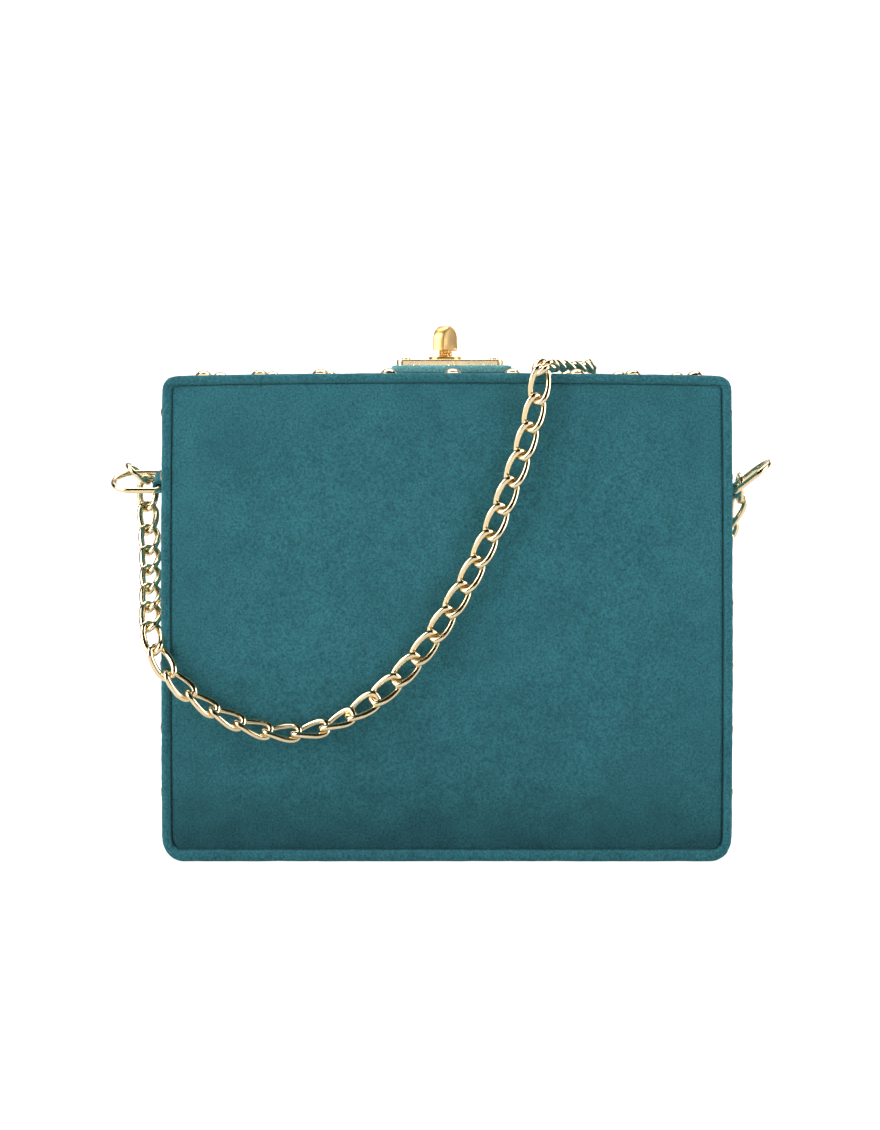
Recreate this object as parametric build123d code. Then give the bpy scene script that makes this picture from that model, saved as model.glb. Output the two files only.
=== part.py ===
from build123d import *
from math import asin, cos, degrees, radians, sin, sqrt
import os

# A velvet box purse. Two shallow trays stand face to face on one base. The front tray is
# hinged along the base's front edge, a turn clasp on a tab holds it shut, and a curb chain
# hangs from a D-ring on each side. Millimetres, X width, -Y front, +Z up, and the origin is
# the centre of the base on the surface that it stands on.

# ---- overall sizes ----
width = 190.0
height = 162.0
depth = 70.0
corner_top = 4.5
corner_bottom = 7.5
bow_top = 1.0
bow_side = 0.5

# ---- layers of each tray ----
skin = 0.9
board = 2.2
base_board_thick = 2.0
band = 2.6
panel_gap = 0.1
panel_thick = 2.6
panel_edge = 1.0
band_recess = 0.3
lining = 0.6
lining_gap = 0.1
face_lining_gap = 1.2
split_gap = 0.4
board_setback = 0.4
lining_setback = 1.0
corner_least = 0.6

# ---- base and hinge ----
base_lip = 2.4
base_lip_thick = 0.5
front_seam_z = 4.1
rear_seam_gap = 0.1
rear_panel_gap = 0.6
base_lip_gap = 0.15
hinge_z = 2.3
barrel_radius = 1.15
pin_radius = 0.55
pin_clearance = 0.05
barrel_clearance = 0.3
hinge_length = 172.0
knuckle_pitch = 21.5
knuckle_gap = 0.3
pin_overhang = 0.4
leaf_thick = 0.5
leaf_clearance = 0.3
leaf_overlap = 0.2
leaf_depth = 11.0
web_rise = 0.9
crease_thick = 0.35
crease_gap = 0.1
crease_root = 0.3
crease_clearance = 0.9
rivet_radius = 0.8
rivet_head_radius = 1.7
rivet_head = 0.35
rivet_clearance = 0.05

# ---- studs ----
stud_radius = 2.9
stud_height = 1.7
stud_shank_radius = 0.7
stud_clearance = 0.06
stud_from_face = 10.0
stud_seat = 0.02
top_stud_margin = 12.6
top_stud_hand_set = [0.5, -1.2, -1.4, 1.1, 1.9, 1.3, 2.6, 0.7, 1.1]
side_stud_count = 7
side_stud_low = 21.3
side_stud_top_margin = 13.3

# ---- clasp ----
tab_x = 1.6
tab_width = 41.0
tab_front = 20.0
tab_rear = 21.0
tab_thick = 2.6
tab_lift = 0.4
tab_corner = 3.0
tab_edge = 1.0
tab_seat = 0.05
tab_crown = 0.3
tab_rivet_pitch = 12.0
tab_rivet_shift = 1.0
plate_x = 1.2
plate_width = 37.0
plate_front = 9.0
plate_rear = 19.0
plate_thick = 2.2
plate_corner = 2.5
plate_edge = 0.5
plate_screw_inset_x = 3.2
plate_screw_inset_y = 3.4
screw_radius = 0.8
screw_head_radius = 1.5
screw_head = 0.6
screw_slot = 0.4
screw_slot_depth = 0.25
screw_length = 3.6
knob_x = -0.4
knob_y = 6.0
eyelet_long = 11.7
eyelet_wide = 8.6
eyelet_rise = 1.2
eyelet_edge = 0.5
bush_radius = 3.1
stem_radius = 2.0
stem_clearance = 0.05
stem_above_eyelet = 2.2
knob_width = 10.0
knob_thick = 5.0
knob_tall = 8.6
knob_shoulder = 4.6
knob_edge = 1.6
knob_angle = 60.0
slot_clearance = 0.45
cam_drop = 7.0
cam_thick = 2.0
cam_hub_radius = 3.3
cam_length = 10.0
cam_width = 3.0
cam_square = 2.6
thread_overhang = 0.6
nut_thick = 2.2
nut_across = 5.6
keeper_thick = 0.8
keeper_half_width = 13.0
keeper_depth = 15.0
keeper_lug_clearance = 0.5
keeper_lug_width = 3.0
keeper_lug_thick = 2.0
keeper_lug_overlap = 1.0
keeper_rivet_inset = 3.0
keeper_seat = 0.05
keeper_clearance = 0.4
keeper_room = 4.0

# ---- rings ----
ring_y = 9.0
ring_bar_z = 124.0
ring_stand_off = 6.2
ring_wire = 1.0
ring_width = 14.0
ring_reach = 16.5
ring_corner = 1.6
loop_clearance = 0.25
loop_wall = 1.2
loop_length = 9.0
tongue_thick = 2.4
tongue_root = 2.0
tab_foot_seat = 0.05
tab_foot_rivet_inset = 3.0
tab_foot_height = 22.0
tab_foot_width = 11.0
tab_foot_thick = 1.2
left_twist = 24.0
right_lift = 38.0
right_bar_drop = 3.2
connector_radius = 4.85
connector_wire = 0.9
left_connector_lean = 48.0

# ---- soft inner parts ----
gusset_depth = 29.0
gusset_thick = 0.5
gusset_fold_gap = 0.5
gusset_side_gap = 0.9
gusset_top_gap = 1.5
gusset_bottom_gap = 2.0
pocket_width = 110.0
pocket_height = 72.0
pocket_bottom = 22.0
pocket_thick = 1.2
pocket_gap = 0.1
base_lining_side_gap = 0.5
base_lining_end_gap = 0.3
base_lining_lift = 0.1
lining_foot_gap = 0.3

# ---- chain ----
link_pitch = 9.55
link_length = 13.15
link_width = 7.3
link_wire = 0.85
link_tilt = 45.0
easing_links = 4
left_link_out = 11.2
right_link_out = 9.8
# The hanging chain's route, from the left connector ring over the front, the top and the back
# to the right connector ring.
chain_route = [
    (-106.2, 13.5, 124.2), (-106.4, 11.6, 115.0), (-104.4, 4.5, 106.0), (-102.8, -4.5, 97.5),
    (-101.0, -15.0, 89.5), (-99.6, -26.0, 81.5), (-98.4, -35.0, 74.5), (-94.6, -38.4, 66.5),
    (-90.2, -38.3, 60.8), (-84.4, -38.2, 55.6), (-76.8, -38.2, 50.4), (-67.8, -38.2, 46.1),
    (-59.1, -38.2, 43.6), (-50.4, -38.2, 42.9), (-40.5, -38.2, 44.8), (-31.6, -38.2, 49.0),
    (-23.8, -38.2, 54.2), (-16.4, -38.2, 60.5), (-10.1, -38.2, 67.6), (-4.3, -38.2, 74.9),
    (0.7, -38.2, 83.1), (5.8, -38.2, 91.3), (10.3, -38.2, 99.8), (14.4, -38.2, 108.4),
    (17.9, -38.2, 117.0), (21.2, -38.2, 125.5), (24.7, -38.2, 134.6), (27.4, -38.2, 143.6),
    (29.8, -38.4, 153.0), (31.2, -38.9, 161.4), (32.0, -36.0, 167.0), (33.2, -27.0, 166.5),
    (35.2, -16.5, 165.4), (39.0, -8.0, 165.3), (44.0, 0.5, 165.3), (48.2, 9.5, 165.3),
    (50.4, 19.5, 165.5), (51.0, 28.0, 166.4), (51.3, 36.2, 167.0), (51.6, 39.4, 160.8),
    (52.0, 38.5, 150.0), (52.8, 38.2, 136.0), (53.8, 38.2, 121.0), (55.0, 38.2, 105.0),
    (56.6, 38.2, 89.0), (58.6, 38.2, 74.0), (61.4, 38.2, 60.0), (65.2, 38.2, 48.5),
    (70.6, 38.2, 40.6), (77.4, 38.2, 38.6), (84.0, 38.2, 43.0), (89.0, 38.7, 52.5),
    (92.6, 39.2, 63.0), (95.2, 39.6, 74.5), (98.0, 38.3, 86.0), (100.4, 32.0, 94.5),
    (100.8, 25.0, 102.3), (102.6, 19.0, 109.6), (104.8, 16.0, 117.4),
]

# ---- worked out from the sizes above ----
half_width = width / 2
half_depth = depth / 2
face_y = half_depth
board_face_y = face_y - panel_thick
board_inner_y = board_face_y - board
split_y = split_gap / 2
inner_inset = skin + board
panel_inset = inner_inset + panel_gap
base_top = skin + base_board_thick
stud_shank = skin + board
crease_radius = barrel_radius + crease_gap + crease_thick
hinge_y = -half_depth + band_recess + base_lip_thick + base_lip_gap + barrel_radius
lining_face_y = board_inner_y - face_lining_gap
top_inner_z = height - inner_inset


def bowed_outline(inset):
    """The front view's outline, moved in by inset: a flat bottom and slightly bowed sides."""
    half = half_width - inset
    low = inset
    high = height - inset
    middle = (low + high) / 2
    edges = [
        Line((-half + bow_side, low), (half - bow_side, low)),
        ThreePointArc((half - bow_side, low), (half, middle), (half - bow_side, high - bow_top)),
        ThreePointArc((half - bow_side, high - bow_top), (0, high), (-half + bow_side, high - bow_top)),
        ThreePointArc((-half + bow_side, high - bow_top), (-half, middle), (-half + bow_side, low)),
    ]
    face = make_face(edges)
    corners = face.vertices().sort_by(Axis.Y)
    face = fillet(corners[:2], max(corner_bottom - inset, corner_least))
    corners = face.vertices().sort_by(Axis.Y)
    return fillet(corners[-2:], max(corner_top - inset, corner_least))


def prism(face, y_low, y_high):
    """A flat outline, drawn in X and Z, as a solid from y_low to y_high."""
    plane = Plane(origin=(0, y_high, 0), x_dir=(1, 0, 0), z_dir=(0, -1, 0))
    return extrude(plane * face, y_high - y_low)


def block(x_low, x_high, y_low, y_high, z_low, z_high):
    size = (x_high - x_low, y_high - y_low, z_high - z_low)
    return Pos(x_low, y_low, z_low) * Box(*size, align=(Align.MIN, Align.MIN, Align.MIN))


def above(z_low):
    return block(-width, width, -depth, depth, z_low, 2 * height)


def below(z_high):
    return block(-width, width, -depth, depth, -height, z_high)


def rod(start, end, radius):
    """A round bar from one point to another."""
    start = Vector(start)
    along = Vector(end) - start
    return extrude(Plane(origin=start, z_dir=along) * Circle(radius), along.length)


def fused(pieces):
    whole = pieces[0]
    for piece in pieces[1:]:
        whole = whole + piece
    return whole


def mirrored(piece):
    """A front tray's piece as the rear tray's."""
    return mirror(piece, Plane.XZ)


# ---- where the studs and rivets go ----
def bow_radius(half, bow):
    return (half * half + bow * bow) / (2 * bow)


def top_place(x, y):
    """A place on the top, with local Z out of the surface."""
    radius = bow_radius(half_width - bow_side, bow_top)
    drop = radius - sqrt(radius * radius - x * x)
    return Pos(x, y, height - drop) * Rot(0, degrees(asin(x / radius)), 0)


def side_place(side, y, z):
    """A place on the left (-1) or right (1) side, with local Z out of the surface."""
    middle = height / 2
    radius = bow_radius((height - bow_top) / 2, bow_side)
    drop = radius - sqrt(radius * radius - (z - middle) ** 2)
    lean = degrees(asin((z - middle) / radius))
    return Pos(side * (half_width - drop), y, z) * Rot(0, side * (90 - lean), 0)


def stud_places(y):
    count = len(top_stud_hand_set)
    pitch = (width - 2 * top_stud_margin) / (count - 1)
    places = [
        top_place(-half_width + top_stud_margin + n * pitch + top_stud_hand_set[n], y)
        for n in range(count)
    ]
    rise = (height - side_stud_top_margin - side_stud_low) / (side_stud_count - 1)
    for side in (-1, 1):
        for n in range(side_stud_count):
            places.append(side_place(side, y, side_stud_low + n * rise))
    return places


stud_y = half_depth - stud_from_face
front_stud_places = stud_places(-stud_y)
rear_stud_places = stud_places(stud_y)


def stud():
    ball = (stud_radius**2 + stud_height**2) / (2 * stud_height)
    dome = Pos(0, 0, stud_height - ball) * Sphere(ball)
    slab = Box(4 * ball, 4 * ball, stud_height - stud_seat)
    dome = dome & Pos(0, 0, (stud_height + stud_seat) / 2) * slab
    shank = Cylinder(stud_shank_radius, stud_shank + stud_seat)
    shank = Pos(0, 0, (stud_seat - stud_shank) / 2) * shank
    return dome + shank


def stud_holes(places):
    hole = Pos(0, 0, -stud_shank / 2) * Cylinder(stud_shank_radius + stud_clearance, stud_shank + 2)
    return [place * hole for place in places]


# ---- the clasp's heights ----
tab_top = height + tab_lift + tab_thick - tab_crown
plate_top = tab_top + plate_thick
eyelet_top = plate_top + eyelet_rise
knob_low = eyelet_top + stem_above_eyelet
cam_top = top_inner_z - cam_drop
cam_low = cam_top - cam_thick
slot_half = stem_radius + slot_clearance


def clasp_slot(z_low, z_high):
    """The way for the stem through the rear tray's top wall, open at the split."""
    run = block(knob_x - slot_half, knob_x + slot_half, -1, knob_y, z_low, z_high)
    end = Pos(knob_x, knob_y, (z_low + z_high) / 2) * Cylinder(slot_half, z_high - z_low)
    return run + end


# ---- tray pieces, drawn for the front half ----
def tray_cover(seam_z):
    """Velvet round the top and sides, folded on to the face as a narrow band."""
    shell = prism(bowed_outline(0), -face_y + band_recess, -split_y)
    room = prism(bowed_outline(skin), -face_y + band_recess + skin, depth)
    opening = prism(bowed_outline(band), -depth, depth)
    return (shell - room - opening) & above(seam_z)


def tray_board(seam_z):
    """The stiff tray: side and top walls, with the face set back behind the panel."""
    walls = prism(bowed_outline(skin), -face_y + band_recess + skin, -split_y - board_setback)
    walls = walls - prism(bowed_outline(inner_inset), -depth, depth)
    face = prism(bowed_outline(inner_inset), -board_face_y, -board_inner_y)
    return (walls + face) & above(seam_z)


def face_panel(seam_z):
    """The padded panel inside the band, with rounded front edges."""
    pad = prism(bowed_outline(panel_inset), -face_y, -board_face_y) & above(seam_z)
    front = pad.faces().sort_by(Axis.Y)[0]
    return fillet(front.edges(), panel_edge)


def tray_lining(seam_z):
    """Thin cloth inside the tray, with the same open bottom."""
    outer = inner_inset + lining_gap
    shell = prism(bowed_outline(outer), -lining_face_y, -split_y - lining_setback)
    room = prism(bowed_outline(outer + lining), -lining_face_y + lining, depth)
    return (shell - room) & above(seam_z)


def with_stud_holes(piece, places):
    return piece - stud_holes(places)


# ---- base ----
def base_board():
    slab = prism(bowed_outline(skin), barrel_rear, face_y - band_recess - skin)
    slab = slab & below(base_top)
    half = hinge_length / 2 + leaf_clearance
    recess = block(
        -half, half, -depth, leaf_base_rear + leaf_clearance, base_top - leaf_thick, 2 * base_top,
    )
    return slab - recess - [rivet_hole(p) for p in base_rivet_places]


def base_cover():
    """Velvet under the base, up its edges, and on over the hinge as a crease."""
    front = -face_y + band_recess
    rear = face_y - band_recess
    trough = prism(bowed_outline(0), front, rear) & below(base_lip)
    room = prism(bowed_outline(skin), front + base_lip_thick, rear - skin)
    crease = Cylinder(crease_radius, width - 2 * corner_bottom)
    crease = crease - Cylinder(crease_radius - crease_thick, width)
    crease = Pos(0, hinge_y, hinge_z) * Rot(0, 90, 0) * crease
    reach = crease_radius * 2
    keep = block(
        -width, width, hinge_y - reach, hinge_y - crease_clearance,
        base_lip - crease_root, hinge_z + reach,
    )
    return (trough - room) + (crease & keep)


def base_lining():
    half = half_width - corner_bottom - base_lining_side_gap
    low = base_top + rivet_head + base_lining_lift
    end = lining_face_y - lining - base_lining_end_gap
    return block(-half, half, -end, end, low, low + lining)


# ---- hinge ----
barrel_rear = hinge_y + barrel_radius + barrel_clearance
leaf_base_rear = hinge_y + barrel_radius + leaf_depth
rivet_count = 4
rivet_xs = [(n - (rivet_count - 1) / 2) * 2 * knuckle_pitch for n in range(rivet_count)]
base_rivet_places = [
    Pos(x, leaf_base_rear - leaf_depth / 3, base_top) for x in rivet_xs
]
front_rivet_places = [
    Pos(x, -board_inner_y + leaf_thick, front_seam_z + 2 * leaf_depth / 3) * Rot(-90, 0, 0)
    for x in rivet_xs
]


def rivet_hole(place):
    length = board + base_board_thick
    return place * Cylinder(rivet_radius + rivet_clearance, 2 * length)


def rivet(place, length):
    """A flat-headed rivet whose head sits on the place and whose shank goes down from it."""
    head = Pos(0, 0, rivet_head / 2) * Cylinder(rivet_head_radius, rivet_head)
    shank = Pos(0, 0, -length / 2) * Cylinder(rivet_radius, length)
    return place * (head + shank)


def knuckles(first):
    """Every second knuckle of the barrel."""
    count = round(hinge_length / knuckle_pitch)
    long = hinge_length / count
    pieces = []
    for n in range(first, count, 2):
        low = -hinge_length / 2 + n * long + knuckle_gap / 2
        high = low + long - knuckle_gap
        pieces.append((low, high))
    return pieces


def barrel(low, high):
    return rod((low, hinge_y, hinge_z), (high, hinge_y, hinge_z), barrel_radius)


def pin_bore():
    reach = hinge_length
    return rod((-reach, hinge_y, hinge_z), (reach, hinge_y, hinge_z), pin_radius + pin_clearance)


def hinge_leaf_base():
    plate = block(
        -hinge_length / 2, hinge_length / 2, barrel_rear, leaf_base_rear,
        base_top - leaf_thick, base_top,
    )
    pieces = [plate]
    for low, high in knuckles(0):
        arm = block(
            low, high, hinge_y, barrel_rear + leaf_overlap, base_top - leaf_thick, base_top,
        )
        pieces += [barrel(low, high), arm]
    return fused(pieces) - pin_bore() - [rivet_hole(p) for p in base_rivet_places]


def hinge_leaf_front():
    inner = -board_inner_y
    low_z = hinge_z + web_rise
    plate = block(
        -hinge_length / 2, hinge_length / 2, inner, inner + leaf_thick,
        low_z, front_seam_z + leaf_depth,
    )
    pieces = [plate]
    for low, high in knuckles(1):
        web = block(
            low, high, hinge_y - leaf_overlap, inner + leaf_overlap, low_z, low_z + leaf_thick,
        )
        pieces += [barrel(low, high), web]
    return fused(pieces) - pin_bore() - [rivet_hole(p) for p in front_rivet_places]


def hinge_pin():
    reach = hinge_length / 2 + pin_overhang
    return rod((-reach, hinge_y, hinge_z), (reach, hinge_y, hinge_z), pin_radius)


# ---- clasp ----
def closure_tab():
    """A stiff velvet tab, fixed on the front tray's top and standing clear over the rear's."""
    foot = top_place(tab_x, 0).position.Z + tab_seat
    tab = block(
        tab_x - tab_width / 2, tab_x + tab_width / 2, -tab_front, tab_rear, foot, tab_top,
    )
    tab = fillet(tab.edges().filter_by(Axis.Z), tab_corner)
    tab = fillet(tab.faces().sort_by(Axis.Z)[-1].edges(), tab_edge)
    under = block(-width, width, -split_y, depth, 0, height + tab_lift)
    tab = tab - under - Pos(knob_x, knob_y, tab_top) * Cylinder(bush_radius, 20)
    for place in plate_screw_places:
        tab = tab - place * Cylinder(screw_radius + rivet_clearance, 2 * screw_length)
    return tab - [p * Cylinder(rivet_radius + rivet_clearance, 20) for p in tab_rivet_places]


plate_screw_places = [
    Pos(plate_x + sx * (plate_width / 2 - plate_screw_inset_x), y, plate_top)
    for sx in (-1, 1)
    for y in (-plate_front + plate_screw_inset_y, plate_rear - plate_screw_inset_y)
]
tab_rivet_places = [
    Pos(tab_x + n * tab_rivet_pitch, -(tab_front + plate_front) / 2 - tab_rivet_shift, tab_top)
    for n in (-1, 0, 1)
]


def clasp_plate():
    plate = block(
        plate_x - plate_width / 2, plate_x + plate_width / 2, -plate_front, plate_rear,
        tab_top, plate_top,
    )
    plate = fillet(plate.edges().filter_by(Axis.Z), plate_corner)
    plate = fillet(plate.faces().sort_by(Axis.Z)[-1].edges(), plate_edge)
    plate = plate - Pos(knob_x, knob_y, plate_top) * Cylinder(bush_radius, 20)
    return plate - [p * Cylinder(screw_radius + rivet_clearance, 20) for p in plate_screw_places]


def clasp_screws():
    slot = Pos(0, 0, screw_head) * Box(3 * screw_head_radius, screw_slot, 2 * screw_slot_depth)
    head = Pos(0, 0, screw_head / 2) * Cylinder(screw_head_radius, screw_head) - slot
    shank = Pos(0, 0, -screw_length / 2) * Cylinder(screw_radius, screw_length)
    return [place * (head + shank) for place in plate_screw_places]


def clasp_eyelet():
    """The raised oval collar, with a round bush that the stem turns in."""
    collar = extrude(Plane.XY * SlotOverall(eyelet_long, eyelet_wide), eyelet_rise)
    collar = fillet(collar.faces().sort_by(Axis.Z)[-1].edges(), eyelet_edge)
    deep = plate_top - height - tab_lift
    bush = Pos(0, 0, -deep / 2) * Cylinder(bush_radius, deep)
    bore = Cylinder(stem_radius + stem_clearance, 40)
    return Pos(knob_x, knob_y, plate_top) * (collar + bush - bore)


def turn_knob():
    """A flat paddle with a rounded top and rounded edges."""
    half = knob_width / 2
    shape = make_face([
        Line((-half, 0), (half, 0)),
        Line((half, 0), (half, knob_shoulder)),
        ThreePointArc((half, knob_shoulder), (0, knob_tall), (-half, knob_shoulder)),
        Line((-half, knob_shoulder), (-half, 0)),
    ])
    paddle = prism(shape, -knob_thick / 2, knob_thick / 2)
    paddle = fillet(paddle.edges(), knob_edge)
    hole = Cylinder(stem_radius, knob_tall)
    return Pos(knob_x, knob_y, knob_low) * Rot(0, 0, knob_angle) * (paddle - hole)


def knob_stem():
    """The round stem from the paddle down through the bush, with a square for the cam."""
    high = knob_low + knob_tall / 2
    turned = Pos(0, 0, (high + cam_top) / 2) * Cylinder(stem_radius, high - cam_top)
    end = cam_low - nut_thick - thread_overhang
    square = Pos(0, 0, (cam_top + cam_low) / 2) * Box(cam_square, cam_square, cam_thick)
    thread = Pos(0, 0, (cam_low + end) / 2) * Cylinder(cam_square / 2, cam_low - end)
    return Pos(knob_x, knob_y, 0) * Rot(0, 0, knob_angle) * (turned + square + thread)


def cam_arm():
    """The arm that swings behind the keeper's lug when the paddle is turned."""
    hub = Cylinder(cam_hub_radius, cam_thick)
    arm = Pos(cam_length / 2, 0, 0) * Box(cam_length, cam_width, cam_thick)
    hole = Box(cam_square, cam_square, 2 * cam_thick)
    place = Pos(knob_x, knob_y, (cam_top + cam_low) / 2) * Rot(0, 0, knob_angle)
    return place * (hub + arm - hole)


def cam_nut():
    nut = extrude(RegularPolygon(nut_across / 2, 6, major_radius=False), nut_thick)
    nut = nut - Cylinder(cam_square / 2, 20)
    return Pos(knob_x, knob_y, cam_low - nut_thick) * Rot(0, 0, knob_angle) * nut


keeper_top = top_inner_z - keeper_seat
keeper_rivet_places = [
    Pos(
        knob_x + sx * (keeper_half_width - keeper_rivet_inset),
        keeper_depth - keeper_rivet_inset,
        keeper_top - keeper_thick,
    )
    * Rot(180, 0, 0)
    for sx in (-1, 1)
]


def keeper():
    """A plate under the rear tray's top wall, with one lug that the cam arm locks behind."""
    plate = block(
        knob_x - keeper_half_width, knob_x + keeper_half_width, split_y + board_setback,
        keeper_depth, keeper_top - keeper_thick, keeper_top,
    )
    clear = cam_length * cos(radians(knob_angle)) + cam_width / 2 * sin(radians(knob_angle))
    lug_x = knob_x + clear + keeper_lug_clearance
    lug_rear = knob_y - cam_width / 2 - keeper_lug_clearance
    lug = block(
        lug_x, lug_x + keeper_lug_width, lug_rear - keeper_lug_thick, lug_rear,
        cam_low - keeper_lug_overlap, keeper_top,
    )
    holes = [p * Cylinder(rivet_radius + rivet_clearance, 20) for p in keeper_rivet_places]
    return plate + lug - clasp_slot(0, 2 * height) - holes


# ---- side rings ----
def ring_place(side):
    """The D-ring's bar, with local X out of the bag's side and local Y along the bar."""
    x = side * (half_width + ring_stand_off)
    if side < 0:
        return Pos(x, ring_y, ring_bar_z) * Rot(0, 0, 180) * Rot(-left_twist, 0, 0)
    return Pos(x, ring_y, ring_bar_z - right_bar_drop) * Rot(0, -right_lift, 0)


def d_ring(side):
    half = ring_width / 2
    straight = ring_reach - half
    path = Wire([
        Line((0, -half + ring_corner), (0, half - ring_corner)),
        RadiusArc((0, half - ring_corner), (ring_corner, half), ring_corner),
        Line((ring_corner, half), (straight, half)),
        ThreePointArc((straight, half), (ring_reach, 0), (straight, -half)),
        Line((straight, -half), (ring_corner, -half)),
        RadiusArc((ring_corner, -half), (0, -half + ring_corner), ring_corner),
    ])
    section = Plane(origin=(0, 0, 0), z_dir=(0, 1, 0)) * Circle(ring_wire)
    return ring_place(side) * sweep(section, path=path)


def ring_tab(side):
    """A velvet loop round the bar, on a foot riveted to the rear tray's side."""
    inner = ring_wire + loop_clearance
    loop = Rot(90, 0, 0) * Cylinder(inner + loop_wall, loop_length)
    bore = Rot(90, 0, 0) * Cylinder(inner, 3 * loop_length)
    place = ring_place(side)
    if side > 0:
        place = place * Rot(0, right_lift, 0)
    tongue = block(
        -ring_stand_off - tongue_root, 0, -loop_length / 2, loop_length / 2,
        -tongue_thick / 2, tongue_thick / 2,
    )
    wall = side_place(side, ring_y, place.position.Z)
    foot = block(
        -tab_foot_height / 2, tab_foot_height / 2, -tab_foot_width / 2, tab_foot_width / 2,
        tab_foot_seat, tab_foot_thick,
    )
    outside = wall * block(-height, height, -depth, depth, tab_foot_seat, 2 * ring_stand_off)
    holes = [p * Cylinder(rivet_radius + rivet_clearance, 20) for p in ring_rivet_places(side)]
    return wall * foot + ((place * (loop + tongue)) & outside) - place * bore - holes


def ring_rivet_places(side):
    wall = side_place(side, ring_y, ring_place(side).position.Z)
    rise = tab_foot_height / 2 - tab_foot_rivet_inset
    return [wall * Pos(d, 0, tab_foot_thick) for d in (-rise, rise)]


def connector_ring(side):
    """The round ring between a D-ring and the chain's end link, its wire through that link."""
    lean = radians(left_connector_lean if side < 0 else 0.0)
    hook = Vector(chain_route[0] if side < 0 else chain_route[-1])
    out = left_link_out if side < 0 else right_link_out
    end = Vector(side * (half_width + out), hook.Y, hook.Z)
    centre = end - Vector(0, 0, link_end_offset) + Vector(-sin(lean), 0, cos(lean)) * connector_radius
    ring = Torus(connector_radius, connector_wire)
    return Plane(origin=centre, z_dir=(cos(lean), 0, sin(lean))) * ring


# ---- inner cloth ----
def gusset(side):
    """A side gusset as it lies folded between the trays while the bag is shut."""
    outer = side * (half_width - inner_inset - lining_gap - lining - gusset_side_gap)
    inner = outer - side * gusset_depth
    low = min(outer, inner)
    high = max(outer, inner)
    top = top_inner_z - lining - gusset_top_gap
    bottom = front_seam_z + gusset_bottom_gap
    reach = gusset_fold_gap + gusset_thick / 2
    whole = block(low, high, -reach, reach, bottom, top)
    gap = gusset_fold_gap - gusset_thick / 2
    inside = block(low, high, -gap, gap, 0, height)
    return whole - Pos(side * gusset_thick, 0, 0) * inside


def inner_pocket():
    """A slip pocket on the rear lining, open at the top."""
    rear = lining_face_y - lining - pocket_gap
    half = pocket_width / 2
    return block(
        -half, half, rear - pocket_thick, rear, pocket_bottom, pocket_bottom + pocket_height,
    )


# ---- chain ----
link_end_offset = link_length / 2 - link_wire - link_pitch / 2


def chain_link():
    """One oval link lying in the XY plane, long along X."""
    bend = link_width / 2 - link_wire
    straight = link_length / 2 - link_wire - bend
    path = Wire([
        Line((-straight, bend), (straight, bend)),
        ThreePointArc((straight, bend), (straight + bend, 0), (straight, -bend)),
        Line((straight, -bend), (-straight, -bend)),
        ThreePointArc((-straight, -bend), (-straight - bend, 0), (-straight, bend)),
    ])
    section = Plane(origin=(-straight, bend, 0), z_dir=(1, 0, 0)) * Circle(link_wire)
    return sweep(section, path=path)


def away_from_bag(point):
    """The direction out of the bag at a point beside it, turning smoothly round its edges."""
    inside = 10.0
    core = Vector(
        max(-half_width + inside, min(half_width - inside, point.X)),
        max(-half_depth + inside, min(half_depth - inside, point.Y)),
        max(inside, min(height - inside, point.Z)),
    )
    return (point - core).normalized()


def link_turn(n, count):
    """How far link n turns about the chain: half a quarter either way, more at the ends."""
    own = link_tilt if n % 2 else -link_tilt
    end = 0 if n < count / 2 else count - 1
    end_own = link_tilt if end % 2 else -link_tilt
    ease = max(0.0, 1 - abs(n - end) / easing_links)
    return radians(own + end_own * ease)


def chain():
    """Interlocked links along the route, each turned a quarter from its neighbours."""
    route = Spline(*chain_route)
    count = round(route.length / link_pitch)
    joints = [route @ (n / count) for n in range(count + 1)]
    link = chain_link()
    links = []
    for n in range(count):
        along = (joints[n + 1] - joints[n]).normalized()
        middle = (joints[n] + joints[n + 1]) * 0.5
        out = away_from_bag(middle)
        facing = (out - along * out.dot(along)).normalized()
        turn = link_turn(n, count)
        normal = facing * cos(turn) + along.cross(facing) * sin(turn)
        place = Plane(origin=middle, x_dir=along, z_dir=normal)
        links.append(Location(place) * link)
    print(f"chain: {count} links along {route.length:.1f} mm")
    return links


# ---- the whole bag ----
def front_half():
    cover = with_stud_holes(tray_cover(front_seam_z), front_stud_places)
    shell = with_stud_holes(tray_board(front_seam_z), front_stud_places)
    shell = shell - [rivet_hole(p) for p in front_rivet_places]
    tab_holes = [p * Cylinder(rivet_radius + rivet_clearance, 20) for p in tab_rivet_places]
    return {
        "front_rim_cover": cover - tab_holes,
        "front_case_board": shell - tab_holes,
        "front_face_panel": face_panel(front_seam_z),
        "front_lining": tray_lining(front_seam_z + lining_foot_gap),
        "front_studs": [place * stud() for place in front_stud_places],
        "hinge_leaf_front": hinge_leaf_front(),
        "hinge_rivets_front": [rivet(p, leaf_thick + board) for p in front_rivet_places],
        "closure_tab": closure_tab(),
        "tab_rivets": [rivet(p, tab_thick + skin + board) for p in tab_rivet_places],
        "clasp_plate": clasp_plate(),
        "clasp_screws": clasp_screws(),
        "clasp_eyelet": clasp_eyelet(),
    }


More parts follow.
